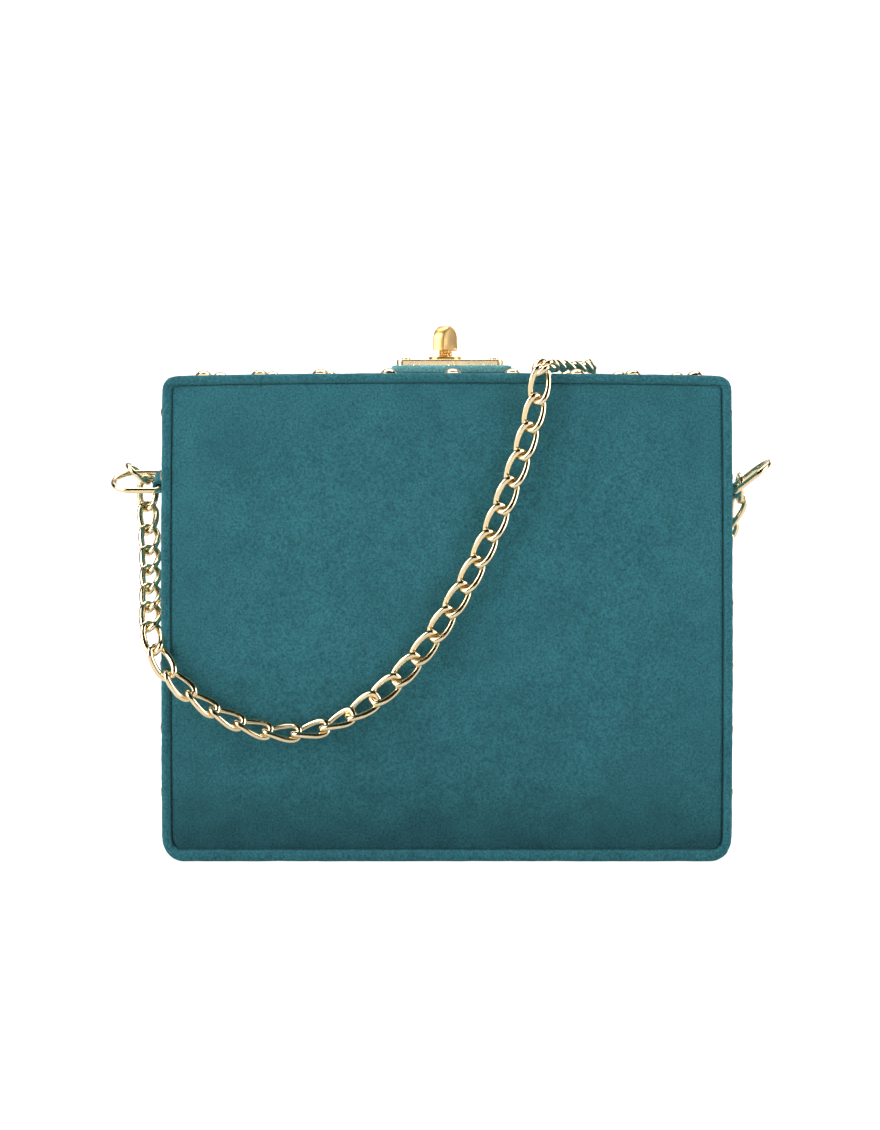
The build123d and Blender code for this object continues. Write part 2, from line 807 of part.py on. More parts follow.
def rear_half():
    slot = clasp_slot(top_inner_z - keeper_room, height + keeper_room)
    cover = with_stud_holes(mirrored(tray_cover(base_lip + rear_seam_gap)), rear_stud_places)
    shell = with_stud_holes(mirrored(tray_board(base_top)), rear_stud_places)
    side_holes = [
        p * Cylinder(rivet_radius + rivet_clearance, 20)
        for side in (-1, 1)
        for p in ring_rivet_places(side)
    ]
    keeper_holes = [rivet_hole(p) for p in keeper_rivet_places]
    half = keeper_half_width + keeper_clearance
    window = block(
        knob_x - half, knob_x + half, 0, keeper_depth + keeper_clearance,
        top_inner_z - keeper_room, height,
    )
    return {
        "rear_rim_cover": cover - slot - side_holes - keeper_holes,
        "rear_case_board": shell - slot - side_holes - keeper_holes,
        "rear_face_panel": mirrored(face_panel(base_lip + rear_panel_gap)),
        "rear_lining": mirrored(tray_lining(front_seam_z + lining_foot_gap)) - window,
        "rear_studs": [place * stud() for place in rear_stud_places],
        "base_board": base_board(),
        "base_cover": base_cover(),
        "base_lining": base_lining(),
        "hinge_leaf_base": hinge_leaf_base(),
        "hinge_pin": hinge_pin(),
        "hinge_rivets_base": [rivet(p, base_board_thick) for p in base_rivet_places],
        "keeper": keeper(),
        "keeper_rivets": [rivet(p, keeper_thick + board) for p in keeper_rivet_places],
        "inner_pocket": inner_pocket(),
    }


def clasp():
    return {
        "turn_knob": turn_knob(),
        "knob_stem": knob_stem(),
        "cam_arm": cam_arm(),
        "cam_nut": cam_nut(),
    }


def sides():
    pieces = {"chain": chain()}
    for name, side in (("left", -1), ("right", 1)):
        pieces[f"{name}_ring_tab"] = ring_tab(side)
        pieces[f"{name}_ring_rivets"] = [
            rivet(p, tab_foot_thick + skin + board) for p in ring_rivet_places(side)
        ]
        pieces[f"{name}_d_ring"] = d_ring(side)
        pieces[f"{name}_connector_ring"] = connector_ring(side)
        pieces[f"{name}_gusset"] = gusset(side)
    return pieces


def write(name, piece):
    whole = Compound(children=list(piece)) if isinstance(piece, list) else piece
    export_step(whole, f"parts/{name}.step")


os.makedirs("parts", exist_ok=True)
for name, piece in {**front_half(), **rear_half(), **clasp(), **sides()}.items():
    write(name, piece)
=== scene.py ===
"""The looks of a velvet box purse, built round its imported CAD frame. Metres; -Y is the front."""

import random
from math import asin, cos, pi, radians, sin, sqrt

import bpy
import numpy as np
from mathutils import Matrix, Vector, noise


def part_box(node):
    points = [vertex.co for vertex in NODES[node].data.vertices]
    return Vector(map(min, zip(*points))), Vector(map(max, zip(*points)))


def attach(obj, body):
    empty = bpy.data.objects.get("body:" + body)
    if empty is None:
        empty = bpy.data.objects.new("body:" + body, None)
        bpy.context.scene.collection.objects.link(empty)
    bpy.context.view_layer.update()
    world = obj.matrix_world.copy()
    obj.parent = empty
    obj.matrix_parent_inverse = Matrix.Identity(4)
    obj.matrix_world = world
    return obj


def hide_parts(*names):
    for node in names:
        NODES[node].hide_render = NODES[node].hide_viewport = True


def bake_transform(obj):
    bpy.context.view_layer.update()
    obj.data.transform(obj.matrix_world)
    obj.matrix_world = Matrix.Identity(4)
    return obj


MM = 0.001
REAR, FRONT, CLASP = "rear_half", "front_half", "clasp"

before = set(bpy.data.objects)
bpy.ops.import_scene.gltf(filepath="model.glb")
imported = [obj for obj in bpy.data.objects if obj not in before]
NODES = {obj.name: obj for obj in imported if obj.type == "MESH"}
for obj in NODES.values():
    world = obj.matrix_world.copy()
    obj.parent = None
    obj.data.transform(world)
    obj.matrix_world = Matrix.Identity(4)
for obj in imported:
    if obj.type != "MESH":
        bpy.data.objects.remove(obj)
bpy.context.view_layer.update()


# ---------------------------------------------------------------- sizes from the frame
def size_of(node):
    low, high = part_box(node)
    return low / MM, high / MM


cover_high = size_of("rear_rim_cover")[1]
front_low, front_high = size_of("front_rim_cover")
panel_low, panel_high = size_of("front_face_panel")
hinge_low, hinge_high = size_of("hinge_pin")
lining_low, lining_high = size_of("front_lining")
HALF_WIDTH = cover_high.x
HEIGHT = cover_high.z
FACE_Y = -panel_low.y
BASE_TOP = 3.3
SEAM_GAP = 0.12
SEAM = BASE_TOP + SEAM_GAP
BAND = HALF_WIDTH - panel_high.x
SPLIT = -front_high.y
LINING_INSET = HALF_WIDTH - lining_high.x
LINING_Y = -lining_low.y
HINGE_Y = (hinge_low.y + hinge_high.y) / 2
HINGE_Z = (hinge_low.z + hinge_high.z) / 2

CORNER_TOP = 4.5
CORNER_BOTTOM = 7.5
BOW_TOP = 1.0
BOW_SIDE = 0.5
SKIN = 0.9
BOARD = 2.2
FLANGE_BACK = 1.08
FLANGE_Y = FACE_Y - FLANGE_BACK
CLOTH_THICK = 0.3
LINING_THICK = 0.35


# ---------------------------------------------------------------- mesh helpers
def new_object(name, verts, faces, material, smooth=True):
    mesh = bpy.data.meshes.new(name)
    mesh.from_pydata([tuple(v) for v in verts], [], faces)
    mesh.validate()
    mesh.materials.append(material)
    mesh.polygons.foreach_set("use_smooth", [smooth] * len(mesh.polygons))
    mesh.update()
    obj = bpy.data.objects.new(name, mesh)
    bpy.context.scene.collection.objects.link(obj)
    return obj


def apply_modifiers(obj):
    depsgraph = bpy.context.evaluated_depsgraph_get()
    mesh = bpy.data.meshes.new_from_object(obj.evaluated_get(depsgraph))
    old = obj.data
    obj.modifiers.clear()
    obj.data = mesh
    mesh.name = obj.name
    bpy.data.meshes.remove(old)
    mesh.polygons.foreach_set("use_smooth", [True] * len(mesh.polygons))
    return obj


def thicken(obj, thickness):
    solid = obj.modifiers.new("thickness", "SOLIDIFY")
    solid.thickness = thickness * MM
    solid.offset = 0
    return apply_modifiers(obj)


def grid_faces(rows, columns, closed_rows=False, closed_columns=False):
    """Quads between rows of points that are stored row after row."""
    faces = []
    for i in range(rows if closed_rows else rows - 1):
        for j in range(columns if closed_columns else columns - 1):
            k = (i + 1) % rows
            m = (j + 1) % columns
            faces.append((i * columns + j, k * columns + j, k * columns + m, i * columns + m))
    return faces


def wobble(x, y, z, size, seed=0.0):
    """Smooth noise from about -1 to 1, with features of that size in millimetres."""
    return noise.noise(Vector((x / size + seed, y / size - seed, z / size + 2 * seed)))


def outline(step=1.0):
    """The bag's front outline in millimetres: (x, z, outward x, outward z), from the middle of the
    base round to the right, over the top, down the left and back."""
    points = []
    side = HALF_WIDTH - BOW_SIDE
    middle = HEIGHT / 2

    def straight(count, place):
        for n in range(count):
            points.append(place((n + 0.5) / count))

    def corner(cx, cz, radius, start):
        count = max(8, int(radius * pi / 2 / (0.6 * step)))
        for n in range(count):
            a = start + (pi / 2) * n / (count - 1)
            points.append((cx + radius * cos(a), cz + radius * sin(a), cos(a), sin(a)))

    def side_x(z):
        return HALF_WIDTH - BOW_SIDE * ((z - middle) / middle) ** 2

    def top_z(x):
        return HEIGHT - BOW_TOP * (x / side) ** 2

    across = side - CORNER_BOTTOM
    up = HEIGHT - BOW_TOP - CORNER_TOP - CORNER_BOTTOM
    top_across = side - CORNER_TOP
    straight(int(across / step), lambda t: (across * t, 0.0, 0.0, -1.0))
    corner(across, CORNER_BOTTOM, CORNER_BOTTOM, -pi / 2)
    straight(int(up / step), lambda t: (side_x(CORNER_BOTTOM + up * t), CORNER_BOTTOM + up * t, 1.0, 0.0))
    corner(top_across, HEIGHT - BOW_TOP - CORNER_TOP, CORNER_TOP, 0.0)
    straight(
        int(2 * top_across / step),
        lambda t: (top_across * (1 - 2 * t), top_z(top_across * (1 - 2 * t)), 0.0, 1.0),
    )
    corner(-top_across, HEIGHT - BOW_TOP - CORNER_TOP, CORNER_TOP, pi / 2)
    straight(
        int(up / step),
        lambda t: (-side_x(CORNER_BOTTOM + up * (1 - t)), CORNER_BOTTOM + up * (1 - t), -1.0, 0.0),
    )
    corner(-across, CORNER_BOTTOM, CORNER_BOTTOM, pi)
    straight(int(across / step), lambda t: (across * (t - 1), 0.0, 0.0, -1.0))
    return points


def seam_point(side, seam):
    """The outline's point at a seam's height on the bottom corner's arc."""
    a = asin(seam / CORNER_BOTTOM - 1)
    x = HALF_WIDTH - BOW_SIDE - CORNER_BOTTOM + CORNER_BOTTOM * cos(a)
    return (side * x, seam, side * cos(a), sin(a))


def arch(seam, step=1.0):
    """The outline's open part above a seam height, from the right-hand seam round to the left."""
    loop = [p for p in outline(step) if p[1] > seam + 0.15]
    first = next(n for n, p in enumerate(loop) if p[0] > 0)
    return [seam_point(1, seam), *loop[first:], *loop[:first], seam_point(-1, seam)]


def under(seam, step=1.0):
    """The outline's open part below a seam height, from the left-hand seam round to the right."""
    loop = [p for p in outline(step) if p[1] < seam - 0.15]
    first = next(n for n, p in enumerate(loop) if n and p[0] < loop[n - 1][0] - HALF_WIDTH)
    return [seam_point(-1, seam), *loop[first:], *loop[:first], seam_point(1, seam)]


# ---------------------------------------------------------------- materials
def material(name, roughness, metallic=0.0):
    mat = bpy.data.materials.new(name)
    mat.use_nodes = True
    shader = mat.node_tree.nodes["Principled BSDF"]
    shader.inputs["Roughness"].default_value = roughness
    shader.inputs["Metallic"].default_value = metallic
    return mat, mat.node_tree, shader


def noise_node(tree, place, scale, detail=2.0, rough=0.5, distortion=0.0):
    made = tree.nodes.new("ShaderNodeTexNoise")
    made.inputs["Scale"].default_value = scale
    made.inputs["Detail"].default_value = detail
    made.inputs["Roughness"].default_value = rough
    made.inputs["Distortion"].default_value = distortion
    tree.links.new(place, made.inputs["Vector"])
    return made.outputs["Fac"]


def ramp(tree, value, stops):
    made = tree.nodes.new("ShaderNodeValToRGB")
    elements = made.color_ramp.elements
    while len(elements) < len(stops):
        elements.new(0.5)
    for element, (place, colour) in zip(elements, stops):
        element.position = place
        element.color = (*colour, 1.0) if len(colour) == 3 else colour
    tree.links.new(value, made.inputs["Fac"])
    return made.outputs["Color"]


def mix(tree, kind, factor, a, b):
    made = tree.nodes.new("ShaderNodeMix")
    made.data_type = "RGBA"
    made.blend_type = kind
    for socket, value in ((made.inputs[0], factor), (made.inputs[6], a), (made.inputs[7], b)):
        if isinstance(value, (int, float)):
            socket.default_value = value
        elif isinstance(value, tuple):
            socket.default_value = (*value, 1.0)
        else:
            tree.links.new(value, socket)
    return made.outputs[2]


def maths(tree, kind, *values, clamp=False):
    made = tree.nodes.new("ShaderNodeMath")
    made.operation = kind
    made.use_clamp = clamp
    for socket, value in zip(made.inputs, values):
        if isinstance(value, (int, float)):
            socket.default_value = value
        else:
            tree.links.new(value, socket)
    return made.outputs[0]


def object_place(tree):
    return tree.nodes.new("ShaderNodeTexCoord").outputs["Object"]


def bump(tree, shader, heights, distance):
    """Bump from (height, strength) layers, finest last."""
    normal = None
    for height, strength in heights:
        made = tree.nodes.new("ShaderNodeBump")
        made.inputs["Strength"].default_value = strength
        made.inputs["Distance"].default_value = distance
        tree.links.new(height, made.inputs["Height"])
        if normal is not None:
            tree.links.new(normal, made.inputs["Normal"])
        normal = made.outputs["Normal"]
    tree.links.new(normal, shader.inputs["Normal"])


def velvet(name, base, sheen_tint, worn=0.0, painted_low_shade=0.0):
    """Short-pile velvet: mottled pile, fine tufts, pale brushed specks and a soft sheen. The last
    argument is how much painted shade darkens the colour itself towards the base."""
    mat, tree, shader = material(name, 0.9)
    place = object_place(tree)
    dark = tuple(c * 0.50 for c in base)
    light = tuple(min(1.0, c * 1.55) for c in base)
    broad = noise_node(tree, place, 34.0, 3.0, 0.55, 0.4)
    patches = noise_node(tree, place, 160.0, 3.0, 0.6)
    tufts = noise_node(tree, place, 1500.0, 3.0, 0.7)
    hairs = noise_node(tree, place, 3600.0, 2.0, 0.8)
    colour = ramp(tree, tufts, [(0.30, dark), (0.50, base), (0.74, light)])
    shade = ramp(tree, broad, [(0.30, (0.90, 0.90, 0.90)), (0.62, (1.03, 1.03, 1.03))])
    colour = mix(tree, "MULTIPLY", 1.0, colour, shade)
    shade = ramp(tree, patches, [(0.30, (0.90, 0.90, 0.90)), (0.66, (1.05, 1.05, 1.05))])
    colour = mix(tree, "MULTIPLY", 1.0, colour, shade)
    # Painted shade: the colour darkens towards the base, standing in for the lower part of a face falling
    # into shade.
    if painted_low_shade:
        height = tree.nodes.new("ShaderNodeSeparateXYZ")
        tree.links.new(place, height.inputs[0])
        edge = maths(tree, "ADD", height.outputs["Z"], maths(tree, "MULTIPLY", patches, 0.008))
        low_shade_ramp = ramp(tree, maths(tree, "MULTIPLY", edge, 10.0), [
            (0.07, (1 - painted_low_shade,) * 3), (0.20, (1 - 0.60 * painted_low_shade,) * 3),
            (0.33, (1 - 0.20 * painted_low_shade,) * 3), (0.75, (1.0,) * 3),
        ])
        colour = mix(tree, "MULTIPLY", 1.0, colour, low_shade_ramp)
    if worn:
        specks = ramp(tree, hairs, [(0.60, (0.0, 0.0, 0.0)), (0.74, (1.0, 1.0, 1.0))])
        pale = tuple(min(1.0, c * 1.9 + 0.02) for c in base)
        amount = maths(tree, "MULTIPLY", specks, worn)
        colour = mix(tree, "MIX", amount, colour, pale)
    tree.links.new(colour, shader.inputs["Base Color"])
    shader.inputs["Specular IOR Level"].default_value = 0.12
    shader.inputs["Sheen Weight"].default_value = 0.34
    shader.inputs["Sheen Roughness"].default_value = 0.42
    shader.inputs["Sheen Tint"].default_value = (*sheen_tint, 1.0)
    bump(tree, shader, [(patches, 0.12), (tufts, 0.65), (hairs, 0.5)], 0.0006)
    return mat


def gold(name, colour, roughness, brushed=0.0):
    """Polished light gold plate with faint wear and the lightest ripple."""
    mat, tree, shader = material(name, roughness, 1.0)
    place = object_place(tree)
    smears = noise_node(tree, place, 420.0, 4.0, 0.6)
    fine = noise_node(tree, place, 2600.0, 2.0, 0.6)
    tone = ramp(tree, smears, [(0.3, tuple(c * 0.93 for c in colour)), (0.7, colour)])
    tree.links.new(tone, shader.inputs["Base Color"])
    low = max(0.03, roughness - 0.06)
    spread = maths(tree, "MULTIPLY_ADD", smears, 0.12 + brushed, low)
    tree.links.new(spread, shader.inputs["Roughness"])
    bump(tree, shader, [(smears, 0.06), (fine, 0.02 + 0.15 * brushed)], 0.0003)
    return mat


def woven(name, colour, thread=0.35):
    """Plain-woven lining cloth, with the thread spacing in millimetres."""
    mat, tree, shader = material(name, 0.75)
    place = object_place(tree)
    waves = []
    for direction in ("X", "Z"):
        wave = tree.nodes.new("ShaderNodeTexWave")
        wave.bands_direction = direction
        wave.inputs["Scale"].default_value = 0.314 / (thread * MM) / 2
        wave.inputs["Distortion"].default_value = 0.6
        tree.links.new(place, wave.inputs["Vector"])
        waves.append(wave.outputs["Fac"])
    weave = maths(tree, "MULTIPLY", *waves)
    broad = noise_node(tree, place, 60.0, 3.0)
    dark = tuple(c * 0.6 for c in colour)
    light = tuple(c * 1.25 for c in colour)
    tone = ramp(tree, weave, [(0.0, dark), (1.0, light)])
    shade = ramp(tree, broad, [(0.3, (0.85, 0.85, 0.85)), (0.7, (1.1, 1.1, 1.1))])
    tree.links.new(mix(tree, "MULTIPLY", 1.0, tone, shade), shader.inputs["Base Color"])
    shader.inputs["Sheen Weight"].default_value = 0.15
    shader.inputs["Specular IOR Level"].default_value = 0.3
    bump(tree, shader, [(weave, 0.5)], 0.0001)
    return mat


def paperboard(name):
    mat, tree, shader = material(name, 0.9)
    place = object_place(tree)
    fibres = noise_node(tree, place, 900.0, 5.0, 0.7)
    tone = ramp(tree, fibres, [(0.3, (0.050, 0.056, 0.060)), (0.7, (0.085, 0.092, 0.096))])
    tree.links.new(tone, shader.inputs["Base Color"])
    bump(tree, shader, [(fibres, 0.4)], 0.0002)
    return mat


def nickel(name):
    mat, tree, shader = material(name, 0.3, 1.0)
    place = object_place(tree)
    grain = noise_node(tree, place, 1800.0, 3.0, 0.6)
    tone = ramp(tree, grain, [(0.3, (0.42, 0.41, 0.39)), (0.7, (0.60, 0.59, 0.57))])
    tree.links.new(tone, shader.inputs["Base Color"])
    bump(tree, shader, [(grain, 0.1)], 0.0001)
    return mat


# The tab's velvet is paler than the rest: painted sheen, standing in for light grazing the tab, on what
# is likely the same fabric as the rest.
TEAL = (0.0345, 0.163, 0.194)
TAB_TEAL_PAINTED_SHEEN = (0.180, 0.450, 0.470)
SHEEN = (0.30, 0.72, 0.78)
GOLD = (0.93, 0.71, 0.41)
# The panel's colour carries strong painted shade towards its base; the band's carries only a trace.
panel_velvet_painted_shade = velvet("panel_velvet_painted_shade", TEAL, SHEEN, worn=0.12, painted_low_shade=0.52)
band_velvet_painted_shade = velvet("band_velvet_painted_shade", TEAL, SHEEN, worn=0.35, painted_low_shade=0.04)
tab_velvet_painted_sheen = velvet("tab_velvet_painted_sheen", TAB_TEAL_PAINTED_SHEEN, SHEEN, worn=0.35)
stud_gold = gold("stud_gold", GOLD, 0.14)
chain_gold = gold("chain_gold", (0.95, 0.76, 0.47), 0.17)
plate_gold = gold("plate_gold", (0.93, 0.70, 0.42), 0.22, 0.05)
knob_gold = gold("knob_gold", (0.81, 0.52, 0.19), 0.33, 0.04)
lining_cloth = woven("lining_cloth", (0.018, 0.075, 0.090))
board_paper = paperboard("board_paper")
plain_nickel = nickel("plain_nickel")


# ---------------------------------------------------------------- velvet pieces
def band_profile(face_y, split_y, inner_y):
    """Section of the band for a front tray: (y, distance out from the bag's outer surface)."""
    roll_back = 1.15
    roll_bulge = 1.35
    middle = -BAND / 2 + 0.15
    reach = -middle
    roll = []
    for n in range(11):
        a = pi / 2 - pi * n / 10
        roll.append((-(face_y - roll_back) - roll_bulge * cos(a), middle + reach * sin(a)))
    along = [(-split_y - (inner_y - split_y) * t, 0.0) for t in np.linspace(0.03, 0.97, 34)]
    wrap = [(-split_y - 0.55, -SKIN - BOARD), (-split_y - 0.10, -SKIN - BOARD + 0.2),
            (-split_y, -SKIN - BOARD / 2), (-split_y, -SKIN), (-split_y - 0.06, -0.3)]
    back = [(-face_y + 1.9, -BAND + 0.05), (-face_y + 2.0, -SKIN - 0.3), (-inner_y + 2.0, -SKIN)]
    inside = [(-split_y - 0.5, -SKIN)]
    return wrap + along + roll + back + inside


def swept(name, path, profile, material_used, side, fuzz=0.12, seed=1.0):
    """A closed section swept along the outline; side is 1 for the front tray and -1 for the rear."""
    rows = []
    for x, z, nx, nz in path:
        for y, out in profile:
            rough = fuzz * (
                0.6 * wobble(x, y, z, 1.1, seed) + 0.8 * wobble(x, y, z, 4.5, seed + 3)
                + 0.9 * wobble(x, y, z, 15.0, seed + 7)
            ) * min(1.0, max(0.0, out + BAND + 0.4))
            px = x + nx * (out + rough)
            pz = z + nz * (out + rough)
            rows.append((px * MM, side * (y + 0.4 * rough) * MM, pz * MM))
    columns = len(profile)
    faces = grid_faces(len(path), columns, closed_columns=True)
    faces.append(tuple(range(columns)))
    faces.append(tuple(reversed(range((len(path) - 1) * columns, len(path) * columns))))
    if side > 0:
        faces = [tuple(reversed(f)) for f in faces]
    return new_object(name, rows, faces, material_used)


def base_velvet():
    """The velvet under the base, rolled up as a band along its back edge, and the rolled hem along its
    front edge."""
    path = under(BASE_TOP, 0.9)
    roll_back = 0.72
    roll_bulge = 0.85
    roll_y = FACE_Y - roll_back
    reach = BAND / 2 + 0.1
    roll = [
        (-roll_y - roll_bulge * sin(b), -BAND / 2 - reach * cos(b)) for b in np.linspace(0, pi, 11)
    ]
    rear = [(-y, out) for y, out in reversed(roll)]
    below = [(y, 0.0) for y in np.linspace(-roll_y + 0.3, roll_y - 1.2, 70)]
    inside = [(roll_y - 0.4, -SKIN), (0.0, -SKIN), (-roll_y + 0.4, -SKIN)]
    obj = swept("base_velvet", path, list(reversed(inside + below + rear)), band_velvet_painted_shade, 1, seed=9.0)
    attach(obj, REAR)
    back = [(-roll_y + 0.5, 0.0), (-roll_y + 0.5, -SKIN), (-roll_y + 0.25, -0.65 * BAND)]
    hem = swept("base_front_hem_velvet", path, list(reversed(roll + back)), band_velvet_painted_shade, 1, seed=9.0)
    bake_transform(hem)
    for made in (obj, hem):
        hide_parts("base_cover")


def hinge_crease():
    """The fold of velvet that hides the hinge along the bottom of the front."""
    rows, columns = 160, 9
    reach = HALF_WIDTH - CORNER_BOTTOM + 1.5
    start, sweep = 188, 74
    crease_radius = 1.62
    verts = []
    for i in range(rows):
        x = -reach + 2 * reach * i / (rows - 1)
        for j in range(columns):
            a = radians(start - sweep * j / (columns - 1))
            radius = crease_radius + 0.08 * wobble(x, j, 0, 4.0, 3.7)
            verts.append((x * MM, (HINGE_Y + radius * cos(a)) * MM, (HINGE_Z + radius * sin(a)) * MM))
    obj = new_object("hinge_crease_velvet", verts, grid_faces(rows, columns), band_velvet_painted_shade)
    thicken(obj, CLOTH_THICK)
    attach(obj, REAR)
    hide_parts("base_cover")


def rim_band(half, side, seam):
    path = arch(seam, 0.8)
    profile = band_profile(FACE_Y, SPLIT, FACE_Y - 1.3)
    obj = swept(f"{half}_velvet_band", path, profile, band_velvet_painted_shade, side, seed=3.0 + side)
    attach(obj, FRONT if side > 0 else REAR)
    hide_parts(f"{half}_rim_cover")


def inset_loop(inset, seam, step=1.2):
    """The outline moved in by inset, with its bottom flattened at the seam height."""
    loop = []
    for x, z, nx, nz in outline(step):
        px = x - nx * inset
        pz = z - nz * inset
        loop.append((px, max(pz, seam)))
    return loop


def padded_panel(half, side, seam):
    """The padded face: a crowned pad with rolled edges and soft dimples, closed at the back."""
    tuck = 0.05
    flange_width = 1.3
    edge_depth = 1.9
    edge_drop = 1.7
    crown_rise = 0.55
    face_back = 0.35
    edge = BAND - tuck
    loop = inset_loop(edge, seam)
    centre_z = (HEIGHT + seam) / 2
    half_high = (HEIGHT - seam) / 2 - edge
    half_wide = HALF_WIDTH - edge
    count = len(loop)
    back_y = FACE_Y - 2.4
    depths = [0.0, 0.12, 0.3, 0.55, 0.9, 1.35, 1.9, 2.7, 3.8, 5.2, 7.0]
    depths += list(np.linspace(9.2, half_high * 0.97, 44))
    verts = []

    def surface(x, z, depth):
        share = min(1.0, (edge_depth - min(depth, edge_depth)) / edge_depth)
        roll = edge_drop * (1 - sqrt(max(0.0, 1 - share**2)))
        crown = crown_rise * (1 - (x / half_wide) ** 2) * (1 - ((z - centre_z) / half_high) ** 2)
        soft = 0.16 * wobble(x, z, 0, 22, 1.3) + 0.07 * wobble(x, z, 0, 7, 4.1)
        near = 0.10 * wobble(x, z, 0, 3.2, 8.4) * max(0.0, 1 - depth / 9)
        return FACE_Y - face_back + crown - roll + (soft + near) * min(1.0, depth / 3)

    for x, z in inset_loop(edge - flange_width, seam):
        verts.append((x, FLANGE_Y, z))
    for x, z in loop:
        verts.append((x, FLANGE_Y + 0.05, z))
    for depth in depths:
        for x, z in loop:
            t = 1 - depth / half_high
            sx = x * (1 - depth / half_wide)
            sz = centre_z + (z - centre_z) * t
            verts.append((sx, surface(sx, sz, depth), sz))
    rows = len(depths) + 2
    faces = grid_faces(rows, count, closed_columns=True)
    last = (rows - 1) * count
    middle_row = verts[last:]
    centre = len(verts)
    mean_x = sum(v[0] for v in middle_row) / count
    verts.append((mean_x, surface(mean_x, centre_z, half_high), centre_z))
    faces += [(last + n, centre, last + (n + 1) % count) for n in range(count)]
    back = len(verts)
    verts.append((0.0, back_y, centre_z))
    faces += [(n, (n + 1) % count, back) for n in range(count)]
    verts = [(x * MM, -side * y * MM, z * MM) for x, y, z in verts]
    if side > 0:
        faces = [tuple(reversed(f)) for f in faces]
    obj = new_object(f"{half}_velvet_panel", verts, faces, panel_velvet_painted_shade)
    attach(obj, FRONT if side > 0 else REAR)
    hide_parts(f"{half}_face_panel")


def soft_copy(node_name, name, material_used, body, voxel, smooth, fuzz, grow=0.0, seed=5.0):
    """A cloth-covered piece grown from a CAD solid: remeshed, relaxed and given a nap."""
    source = NODES[node_name]
    obj = bpy.data.objects.new(name, source.data.copy())
    bpy.context.scene.collection.objects.link(obj)
    obj.data.materials.clear()
    obj.data.materials.append(material_used)
    remesh = obj.modifiers.new("remesh", "REMESH")
    remesh.mode = "VOXEL"
    remesh.voxel_size = voxel * MM
    relax = obj.modifiers.new("relax", "SMOOTH")
    relax.iterations = smooth
    apply_modifiers(obj)
    mesh = obj.data
    count = len(mesh.vertices)
    co = np.zeros(count * 3, np.float32)
    normals = np.zeros(count * 3, np.float32)
    mesh.vertices.foreach_get("co", co)
    mesh.vertex_normals.foreach_get("vector", normals)
    co = co.reshape(-1, 3)
    normals = normals.reshape(-1, 3)
    for n in range(count):
        x, y, z = co[n] / MM
        out = 0.6 * wobble(x, y, z, 1.2, seed) + 0.8 * wobble(x, y, z, 5.0, seed + 2)
        co[n] += normals[n] * (out * fuzz + grow) * MM
    mesh.vertices.foreach_set("co", co.reshape(-1))
    mesh.update()
    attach(obj, body)
    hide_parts(node_name)


# ---------------------------------------------------------------- metal pieces
def islands(mesh):
    """A mesh's separate solids, each as an array of its points."""
    count = len(mesh.vertices)
    co = np.zeros(count * 3, np.float64)
    mesh.vertices.foreach_get("co", co)
    co = co.reshape(-1, 3)
    keys = {}
    merged = np.zeros(count, int)
    for n, point in enumerate(np.round(co / 1e-6).astype(int)):
        merged[n] = keys.setdefault(tuple(point), len(keys))
    parent = list(range(len(keys)))

    def root(a):
        while parent[a] != a:
            parent[a] = parent[parent[a]]
            a = parent[a]
        return a

    for a, b in (e.vertices for e in mesh.edges):
        ra, rb = root(merged[a]), root(merged[b])
        if ra != rb:
            parent[ra] = rb
    groups = {}
    for n in range(count):
        groups.setdefault(root(merged[n]), []).append(n)
    return [co[g] for g in sorted(groups.values())]


def lathe(profile, turns):
    """Points and faces of a profile of (radius, height) turned round Z; the last point is on the axis."""
    verts = []
    for radius, height in profile[:-1]:
        for n in range(turns):
            a = 2 * pi * n / turns
            verts.append((radius * cos(a), radius * sin(a), height))
    faces = grid_faces(len(profile) - 1, turns, closed_columns=True)
    faces = [tuple(reversed(f)) for f in faces]
    tip = len(verts)
    verts.append((0.0, 0.0, profile[-1][1]))
    last = (len(profile) - 2) * turns
    faces += [(last + n, last + (n + 1) % turns, tip) for n in range(turns)]
    faces.append(tuple(reversed(range(turns))))
    return verts, faces


def stud_heads(half, body):
    """Domed studs where the frame has them, each pressed in at its own slight angle."""
    chance = random.Random(11 if half == "front" else 12)
    radius = 2.9
    rise = 1.7
    ball = (radius**2 + rise**2) / (2 * rise)
    profile = [(radius - 0.15, -0.25), (radius, -0.1), (radius + 0.02, 0.08)]
    for n in range(12):
        a = asin(min(1.0, radius * 0.985 / ball)) * (1 - n / 12)
        profile.append((ball * sin(a), rise - ball + ball * cos(a)))
    profile.append((0.0, rise))
    shape, shape_faces = lathe(profile, 40)
    verts, faces = [], []
    for points in islands(NODES[f"{half}_studs"].data):
        low = points.min(0) / MM
        high = points.max(0) / MM
        middle = (low + high) / 2
        if high[2] > HEIGHT:
            place = Vector((middle[0], middle[1], high[2] - rise))
            axis = Vector((0, 0, 1))
        elif middle[0] > 0:
            place = Vector((high[0] - rise, middle[1], middle[2]))
            axis = Vector((1, 0, 0))
        else:
            place = Vector((low[0] + rise, middle[1], middle[2]))
            axis = Vector((-1, 0, 0))
        lean = Vector([chance.uniform(-0.06, 0.06) for _ in range(3)])
        turn = Vector((0, 0, 1)).rotation_difference((axis + lean).normalized()).to_matrix()
        start = len(verts)
        for v in shape:
            verts.append(tuple((place + turn @ Vector(v)) * MM))
        faces += [tuple(start + i for i in f) for f in shape_faces]
    obj = new_object(f"{half}_stud_heads", verts, faces, stud_gold)
    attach(obj, body)
    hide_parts(f"{half}_studs")


def tube(points, frames, radius, ring=10, closed=False, flatten=1.0):
    """A round wire: points down its middle and, for each, two directions across it."""
    verts = []
    for p, (u, v) in zip(points, frames):
        for n in range(ring):
            a = 2 * pi * n / ring
            verts.append(p + u * (radius * cos(a)) + v * (radius * flatten * sin(a)))
    return verts, grid_faces(len(points), ring, closed_rows=closed, closed_columns=True)


